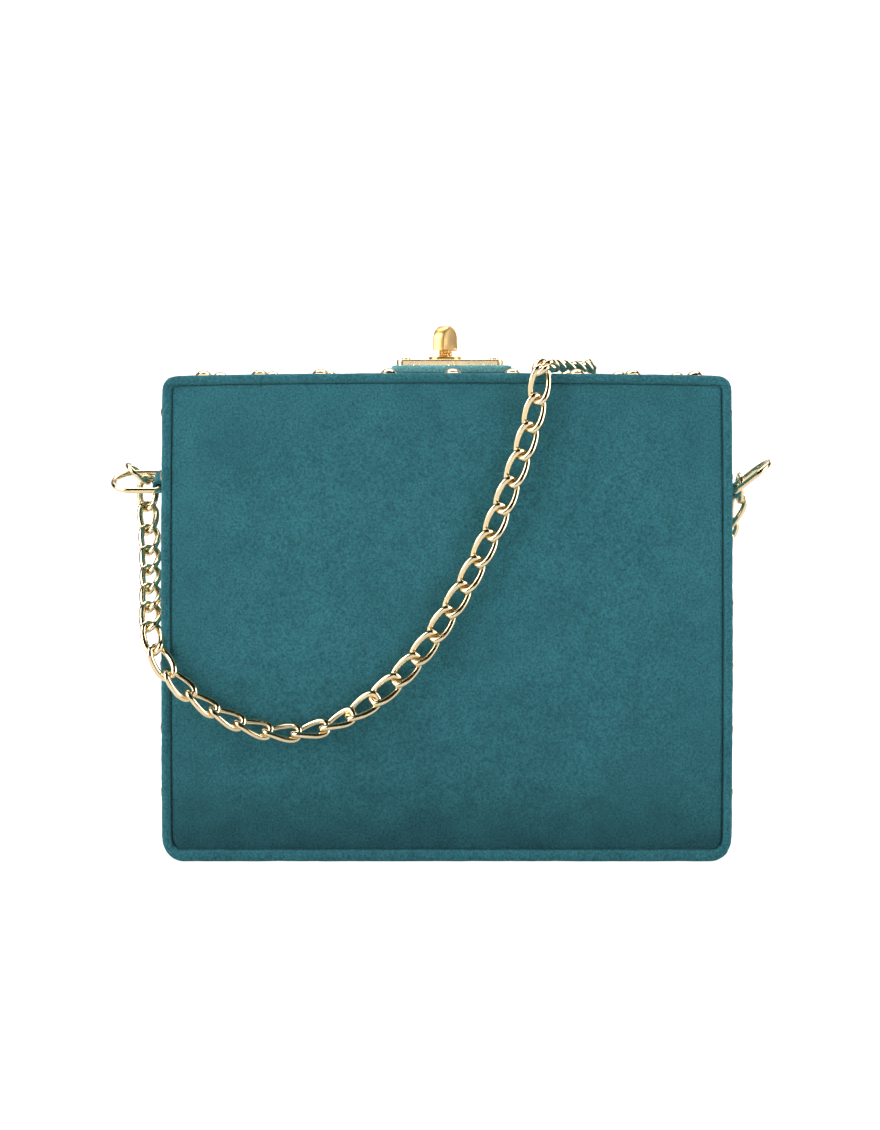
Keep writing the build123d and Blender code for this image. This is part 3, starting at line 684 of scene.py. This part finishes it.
def curb_link(length, width, wire, twist, steps=44, ring=10):
    """One twisted oval link about its middle: long along X, lying flat in the XY plane."""
    a = length / 2 - wire
    b = width / 2 - wire
    points = []
    for n in range(steps):
        t = 2 * pi * n / steps
        cx, cy = cos(t), sin(t)
        x = a * abs(cx) ** 0.80 * (1 if cx > 0 else -1)
        y = b * abs(cy) ** 0.62 * (1 if cy > 0 else -1)
        phi = twist * x / a
        points.append(Vector((x, y * cos(phi), y * sin(phi))))
    frames = []
    for n in range(steps):
        along = (points[(n + 1) % steps] - points[n - 1]).normalized()
        phi = twist * points[n].x / a
        normal = Vector((0, -sin(phi), cos(phi)))
        u = along.cross(normal).normalized()
        frames.append((u, u.cross(along).normalized()))
    return tube(points, frames, wire, ring, closed=True, flatten=0.92)


# The CAD chain's route with its top and its drape moved by up to about 3 mm, so that these links,
# which are larger than the CAD's, rest on the velvet. There is one link fewer.
CHAIN_ROUTE = [
    (-106.2, 13.5, 124.2), (-106.4, 11.6, 115.0), (-104.4, 4.5, 106.0), (-102.8, -4.5, 97.5),
    (-101.0, -15.0, 89.5), (-99.6, -26.0, 81.5), (-98.4, -35.0, 74.5), (-94.6, -38.8, 66.5),
    (-90.2, -39.0, 60.8), (-84.4, -39.1, 55.6), (-76.8, -39.1, 50.4), (-67.8, -39.1, 46.1),
    (-59.1, -39.1, 43.6), (-50.4, -39.1, 42.9), (-40.5, -39.0, 44.8), (-31.6, -38.6, 49.0),
    (-23.8, -38.2, 54.2), (-16.4, -38.2, 60.5), (-10.1, -38.2, 67.6), (-4.3, -38.2, 74.9),
    (0.7, -38.2, 83.1), (5.8, -38.2, 91.3), (10.3, -38.2, 99.8), (14.4, -38.2, 108.4),
    (17.9, -38.2, 117.0), (21.2, -38.2, 125.5), (24.7, -38.2, 134.6), (27.4, -38.2, 143.6),
    (29.8, -38.2, 152.5), (31.0, -38.2, 159.6), (31.6, -37.4, 165.4), (33.0, -29.5, 164.7),
    (35.2, -18.5, 164.5), (39.0, -8.5, 164.5), (44.0, 0.5, 164.5), (48.2, 9.5, 164.5),
    (50.4, 19.5, 164.5), (51.0, 29.5, 164.8), (51.3, 37.4, 165.4), (51.6, 38.4, 159.6),
    (52.0, 38.5, 150.0), (52.8, 38.2, 136.0), (53.8, 38.2, 121.0), (55.0, 38.2, 105.0),
    (56.6, 38.2, 89.0), (58.6, 38.2, 74.0), (61.4, 38.2, 60.0), (65.2, 38.2, 48.5),
    (70.6, 38.2, 40.6), (77.4, 38.2, 38.6), (84.0, 38.2, 43.0), (89.0, 38.7, 52.5),
    (92.6, 39.2, 63.0), (95.2, 39.6, 74.5), (98.0, 38.3, 86.0), (100.4, 32.0, 94.5),
    (100.8, 25.0, 102.3), (102.6, 19.0, 109.6), (104.8, 16.0, 117.4),
]
LINK_PITCH = 9.55
LINK_LENGTH = 13.8
LINK_WIDTH = 8.0
LINK_WIRE = 1.10
LINK_TWIST = radians(36)
LINK_LOOSE = 0.10
DRAPE_ROLL = radians(62)


def route_line(points):
    """The chain's smooth line: the NURBS spline that has the route's points as controls."""
    curve = bpy.data.curves.new("route", "CURVE")
    curve.dimensions = "3D"
    spline = curve.splines.new("NURBS")
    spline.points.add(len(points) - 1)
    for control, place in zip(spline.points, points):
        control.co = (*place, 1.0)
    spline.order_u = 3
    spline.use_endpoint_u = True
    spline.resolution_u = 12
    holder = bpy.data.objects.new("route", curve)
    mesh = bpy.data.meshes.new_from_object(holder)
    line = [v.co.copy() for v in mesh.vertices]
    bpy.data.meshes.remove(mesh)
    bpy.data.objects.remove(holder)
    bpy.data.curves.remove(curve)
    return line


def evenly(line, count):
    """Points that divide a line into count equal lengths."""
    array = np.array(line)
    along = np.concatenate([[0], np.cumsum(np.linalg.norm(np.diff(array, axis=0), axis=1))])
    at = np.linspace(0, along[-1], count + 1)
    return [Vector([float(np.interp(s, along, array[:, k])) for k in range(3)]) for s in at], along[-1]


def link_facing(point):
    """Which way the flat of the chain faces: out of the face that it lies on."""
    if point.z > HEIGHT - 1 and abs(point.y) < FACE_Y:
        return Vector((0, 0, 1))
    if point.y > FACE_Y - 2:
        return Vector((0, 1, 0.25 if point.z > HEIGHT - 6 else 0))
    if point.x > HALF_WIDTH:
        return Vector((1, 0.6, 0))
    return Vector((0, -1, 0.5 if point.z > HEIGHT - 3 else 0))


def drape_turn(point):
    """How far the links roll over about the chain near the bottom of the front drape."""
    if point.y > -30 or point.x > 0:
        return 0.0
    if point.x < -62:
        t = (point.x + 100) / 18
    else:
        t = (-16 - point.x) / 24
    t = min(1.0, max(0.0, t))
    return DRAPE_ROLL * t * t * (3 - 2 * t)


def chain():
    line = route_line(CHAIN_ROUTE)
    count = round(sum((b - a).length for a, b in zip(line, line[1:])) / LINK_PITCH)
    joints, length = evenly(line, count)
    shape, shape_faces = curb_link(LINK_LENGTH, LINK_WIDTH, LINK_WIRE, LINK_TWIST)
    chance = random.Random(4)
    verts, faces = [], []
    for n in range(count):
        along = (joints[n + 1] - joints[n]).normalized()
        middle = (joints[n] + joints[n + 1]) / 2
        facing = link_facing(middle)
        facing = (facing - along * facing.dot(along)).normalized()
        turn = drape_turn(middle) + chance.uniform(-LINK_LOOSE, LINK_LOOSE)
        across = facing.cross(along).normalized()
        facing = facing * cos(turn) + across * sin(turn)
        across = facing.cross(along).normalized()
        place = Matrix((along, across, facing)).transposed()
        start = len(verts)
        for v in shape:
            verts.append((middle + place @ v) * MM)
        faces += [tuple(start + i for i in f) for f in shape_faces]
    obj = new_object("curb_chain", verts, faces, chain_gold)
    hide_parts("chain")
    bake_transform(obj)


# ---------------------------------------------------------------- inner pieces
def tray_lining(half, side):
    """Cloth inside a tray: side walls and face in one sheet, a little loose."""
    seam = front_low.z + 0.4
    loop = inset_loop(LINING_INSET + 0.1, seam, 1.6)
    count = len(loop)
    centre_z = (HEIGHT + seam) / 2
    half_high = (HEIGHT - seam) / 2 - LINING_INSET
    ys = [1.3, 1.5, 3, 6, 10, 14, 18, 22, 25, 27, 28.2, LINING_Y - 0.45, LINING_Y - 0.3]
    verts = [
        (x - 0.12 * wobble(x, y, z, 9, 2.2) * (1 if x > 0 else -1), y, z)
        for y in ys for x, z in loop
    ]
    for depth in np.linspace(1.2, half_high * 0.97, 26):
        for x, z in loop:
            sx = x * (1 - depth / (HALF_WIDTH - LINING_INSET))
            sz = centre_z + (z - centre_z) * (1 - depth / half_high)
            verts.append((sx, LINING_Y - 0.3 + 0.25 * wobble(sx, sz, 0, 16, 3.3) - 0.2, sz))
    rows = len(verts) // count
    faces = [
        f for f in grid_faces(rows, count, closed_columns=True)
        if not (f[0] // count < len(ys) and all(verts[i][2] <= seam + 1e-6 for i in f))
    ]
    last = (rows - 1) * count
    centre = len(verts)
    mean_x = sum(v[0] for v in verts[last:]) / count
    verts.append((mean_x, LINING_Y - 0.5, centre_z))
    faces += [(last + n, last + (n + 1) % count, centre) for n in range(count)]
    verts = [(x * MM, -side * y * MM, z * MM) for x, y, z in verts]
    if side < 0:
        faces = [tuple(reversed(f)) for f in faces]
    obj = new_object(f"{half}_lining_cloth", verts, faces, lining_cloth)
    thicken(obj, LINING_THICK)
    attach(obj, FRONT if side > 0 else REAR)
    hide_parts(f"{half}_lining")


def gusset(name, side):
    """A side gusset folded inwards between the trays."""
    low, high = size_of(f"{name}_gusset")
    outer = high.x if side > 0 else low.x
    inner = low.x if side > 0 else high.x
    depth = abs(outer - inner)
    section = [(outer, 0.62), (outer - side * 0.25 * depth, 0.50), (outer - side * 0.6 * depth, 0.42),
               (outer - side * 0.92 * depth, 0.32), (inner, 0.0)]
    section += [(x, -y) for x, y in reversed(section[:-1])]
    line = []
    for (xa, ya), (xb, yb) in zip(section, section[1:]):
        line += [(xa + (xb - xa) * t, ya + (yb - ya) * t) for t in (0, 0.25, 0.5, 0.75)]
    line.append(section[-1])
    rows = 60
    verts = []
    for n in range(rows):
        z = low.z + (high.z - low.z) * n / (rows - 1)
        for x, y in line:
            sway = 0.25 * wobble(x, y, z, 12, 6.0 + side)
            verts.append(((x + sway) * MM, y * MM, z * MM))
    faces = grid_faces(rows, len(line))
    obj = new_object(f"{name}_gusset_cloth", verts, faces, lining_cloth)
    thicken(obj, CLOTH_THICK)
    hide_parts(f"{name}_gusset")
    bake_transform(obj)


def pocket():
    """A slip pocket on the rear lining, fuller and slightly gathered towards its open top."""
    low, high = size_of("inner_pocket")
    columns, rows = 90, 40
    verts = []
    for i in range(rows):
        t = i / (rows - 1)
        z = low.z + (high.z - low.z) * t
        for j in range(columns):
            s = j / (columns - 1)
            x = low.x + (high.x - low.x) * s
            belly = sin(pi * s) ** 0.5 * (0.5 + 0.5 * t)
            folds = 0.18 * sin(x * 1.1 + 1.5 * wobble(x, 0, z, 20, 2.0)) * t**2
            verts.append((x * MM, (high.y - 0.25 - 0.6 * belly + folds * belly) * MM, z * MM))
    obj = new_object("pocket_cloth", verts, grid_faces(rows, columns), lining_cloth)
    thicken(obj, CLOTH_THICK)
    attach(obj, REAR)
    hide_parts("inner_pocket")


def knob_paddle():
    """The clasp's paddle: a flat bullet with crisp bevelled edges, seen a little edge-on."""
    low, high = size_of("turn_knob")
    stem_low, stem_high = size_of("knob_stem")
    centre_x = (stem_low.x + stem_high.x) / 2
    centre_y = (stem_low.y + stem_high.y) / 2
    half, thick, tall = 5.0, 2.35, high.z - low.z
    shoulder = 0.40 * tall
    loop = [(-half, 0.0), (-half, shoulder * 0.5)]
    for n in range(33):
        a = pi - pi * n / 32
        loop.append((half * cos(a), shoulder + (tall - shoulder) * sin(a) ** 0.92))
    loop += [(half, shoulder * 0.5), (half, 0.0), (half * 0.5, 0.0), (0.0, 0.0), (-half * 0.5, 0.0)]
    middle = (0.0, tall * 0.45)
    rows = []
    bevel = 0.55
    for inset, y in ((1.9, -thick + 0.12), (1.1, -thick + 0.05), (bevel, -thick), (0.22, -thick + 0.14),
                     (0.0, -thick + bevel), (0.0, 0.0), (0.0, thick - bevel), (0.22, thick - 0.14),
                     (bevel, thick), (1.1, thick - 0.05), (1.9, thick - 0.12)):
        row = []
        for x, z in loop:
            dx, dz = x - middle[0], z - middle[1]
            reach = sqrt(dx * dx + dz * dz)
            row.append((middle[0] + dx * (1 - inset / reach), y, middle[1] + dz * (1 - inset / reach)))
        rows.append(row)
    paddle_turn = radians(60.0)
    turn = Matrix.Rotation(paddle_turn, 3, "Z")
    base = Vector((centre_x, centre_y, low.z))
    verts = [(base + turn @ Vector(v)) * MM for row in rows for v in row]
    count = len(loop)
    faces = grid_faces(len(rows), count, closed_columns=True)
    faces.append(tuple(range(count)))
    faces.append(tuple(reversed(range((len(rows) - 1) * count, len(rows) * count))))
    faces = [tuple(reversed(f)) for f in faces]
    obj = new_object("knob_paddle", verts, faces, knob_gold)
    obj.data.set_sharp_from_angle(angle=radians(38))
    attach(obj, CLASP)
    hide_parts("turn_knob")


def beaded_stem():
    """Two rings of small beads round the stem between the paddle and the eyelet."""
    low = size_of("turn_knob")[0]
    eye_high = size_of("clasp_eyelet")[1]
    ring_radius = 1.75
    stem_low, stem_high = size_of("knob_stem")
    centre = Vector(((stem_low.x + stem_high.x) / 2, (stem_low.y + stem_high.y) / 2, 0))
    verts, faces = [], []

    def bead(place, radius):
        turns, rings = 12, 7
        start = len(verts)
        for i in range(rings):
            a = pi * (i + 0.5) / rings
            for j in range(turns):
                b = 2 * pi * j / turns
                verts.append((place + radius * Vector((sin(a) * cos(b), sin(a) * sin(b), -cos(a)))) * MM)
        faces.extend(
            tuple(start + k for k in reversed(f)) for f in grid_faces(rings, turns, closed_columns=True)
        )
        faces.append(tuple(start + k for k in range(turns)))
        faces.append(tuple(start + (rings - 1) * turns + k for k in reversed(range(turns))))

    for level, (z, radius, count) in enumerate(((eye_high.z + 0.75, 0.72, 9), (low.z - 0.55, 0.68, 8))):
        for n in range(count):
            a = 2 * pi * (n + 0.5 * level) / count
            bead(centre + Vector((ring_radius * cos(a), ring_radius * sin(a), z)), radius)
    obj = new_object("stem_beads", verts, faces, knob_gold)
    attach(obj, CLASP)


def finish_cad(names, material_used, angle=35):
    """Gives carried-over CAD nodes their finish, smooth except at real edges."""
    for name in names:
        mesh = NODES[name].data
        mesh.materials.clear()
        mesh.materials.append(material_used)
        mesh.polygons.foreach_set("use_smooth", [True] * len(mesh.polygons))
        mesh.set_sharp_from_angle(angle=radians(angle))


# ---------------------------------------------------------------- the stage
def stage():
    """A floor that curves up behind, soft boxes, and the camera in front. The backdrop's glow and the
    bright sky are seen by the camera only and light nothing."""
    world = bpy.data.worlds.new("studio")
    bpy.context.scene.world = world
    world.use_nodes = True
    sky = world.node_tree.nodes["Background"].inputs
    sky["Color"].default_value = (0.05, 0.05, 0.05, 1)
    straight = world.node_tree.nodes.new("ShaderNodeLightPath").outputs["Is Camera Ray"]
    brightness = maths(world.node_tree, "MULTIPLY_ADD", straight, 19.8, 0.20)
    world.node_tree.links.new(brightness, sky["Strength"])
    mat, tree, shader = material("paper", 0.95)
    shader.inputs["Base Color"].default_value = (0.82, 0.82, 0.82, 1)
    shader.inputs["Specular IOR Level"].default_value = 0.0
    shader.inputs["Emission Color"].default_value = (1, 1, 1, 1)
    seen = tree.nodes.new("ShaderNodeLightPath").outputs["Is Camera Ray"]
    tree.links.new(maths(tree, "MULTIPLY", seen, 0.72), shader.inputs["Emission Strength"])
    verts = []
    profile = [(-2.5, 0.0), (0.9, 0.0)]
    profile += [(0.9 + 0.6 * sin(a), 0.6 - 0.6 * cos(a)) for a in np.linspace(0.1, pi / 2, 12)]
    profile.append((1.5, 3.0))
    for y, z in profile:
        verts += [(-3.0, y, z - 0.0002), (3.0, y, z - 0.0002)]
    faces = grid_faces(len(profile), 2)
    faces = [tuple(reversed(f)) for f in faces]
    new_object("backdrop", verts, faces, mat)

    def soft_box(name, place, target, size, power):
        light = bpy.data.lights.new(name, "AREA")
        light.shape = "RECTANGLE"
        light.size, light.size_y = size
        light.energy = power
        obj = bpy.data.objects.new(name, light)
        bpy.context.scene.collection.objects.link(obj)
        obj.location = place
        aim = Vector(target) - Vector(place)
        obj.rotation_euler = aim.to_track_quat("-Z", "Y").to_euler()

    soft_box("left", (-1.15, -0.48, 0.66), (0, 0, 0.08), (0.9, 1.3), 21.0)
    soft_box("right", (1.20, -0.52, 0.50), (0, 0, 0.08), (0.8, 1.2), 14.5)
    soft_box("right_rear", (0.85, 1.05, 0.40), (0, 0, 0.12), (0.5, 0.8), 6.0)
    soft_box("top", (-0.05, 0.40, 1.15), (0, 0, 0.10), (1.2, 0.6), 9.0)
    soft_box("front", (0.0, -1.30, 0.22), (0, 0, 0.15), (0.8, 0.16), 0.8)

    camera = bpy.data.cameras.new("camera")
    holder = bpy.data.objects.new("camera", camera)
    bpy.context.scene.collection.objects.link(holder)
    bpy.context.scene.camera = holder
    distance = 0.650
    eye_height = 0.155
    width_seen = 0.2917772
    holder.location = (-0.0023, -FACE_Y * MM - distance, eye_height)
    holder.rotation_euler = (pi / 2, 0, 0)
    camera.sensor_fit = "HORIZONTAL"
    camera.sensor_width = 36.0
    camera.lens = camera.sensor_width * distance / width_seen
    camera.shift_y = -0.1943182
    bpy.context.scene.view_settings.view_transform = "Standard"


# ---------------------------------------------------------------- everything
for half, side in (("front", 1), ("rear", -1)):
    rim_band(half, side, SEAM)
    padded_panel(half, side, SEAM)
    tray_lining(half, side)
    stud_heads(half, FRONT if side > 0 else REAR)
base_velvet()
hinge_crease()
# The tab's velvet has painted sheen in its paler colour.
soft_copy("closure_tab", "closure_tab_velvet", tab_velvet_painted_sheen, FRONT, 0.4, 3, 0.16, 0.10)
for name, side in (("left", -1), ("right", 1)):
    soft_copy(f"{name}_ring_tab", f"{name}_ring_loop_velvet", band_velvet_painted_shade, REAR, 0.35, 4, 0.08)
    gusset(name, side)
pocket()
chain()
finish_cad(
    ["clasp_plate", "clasp_screws", "tab_rivets", "left_ring_rivets", "right_ring_rivets"], plate_gold)
knob_paddle()
beaded_stem()
finish_cad(["clasp_eyelet", "knob_stem"], knob_gold)
finish_cad(
    ["left_d_ring", "right_d_ring", "left_connector_ring", "right_connector_ring"], chain_gold, 60)
finish_cad(
    ["hinge_leaf_base", "hinge_leaf_front", "hinge_pin", "hinge_rivets_base", "hinge_rivets_front",
     "keeper", "keeper_rivets", "cam_arm", "cam_nut"], plain_nickel)
finish_cad(["front_case_board", "rear_case_board", "base_board"], board_paper)
finish_cad(["base_lining"], lining_cloth)
stage()
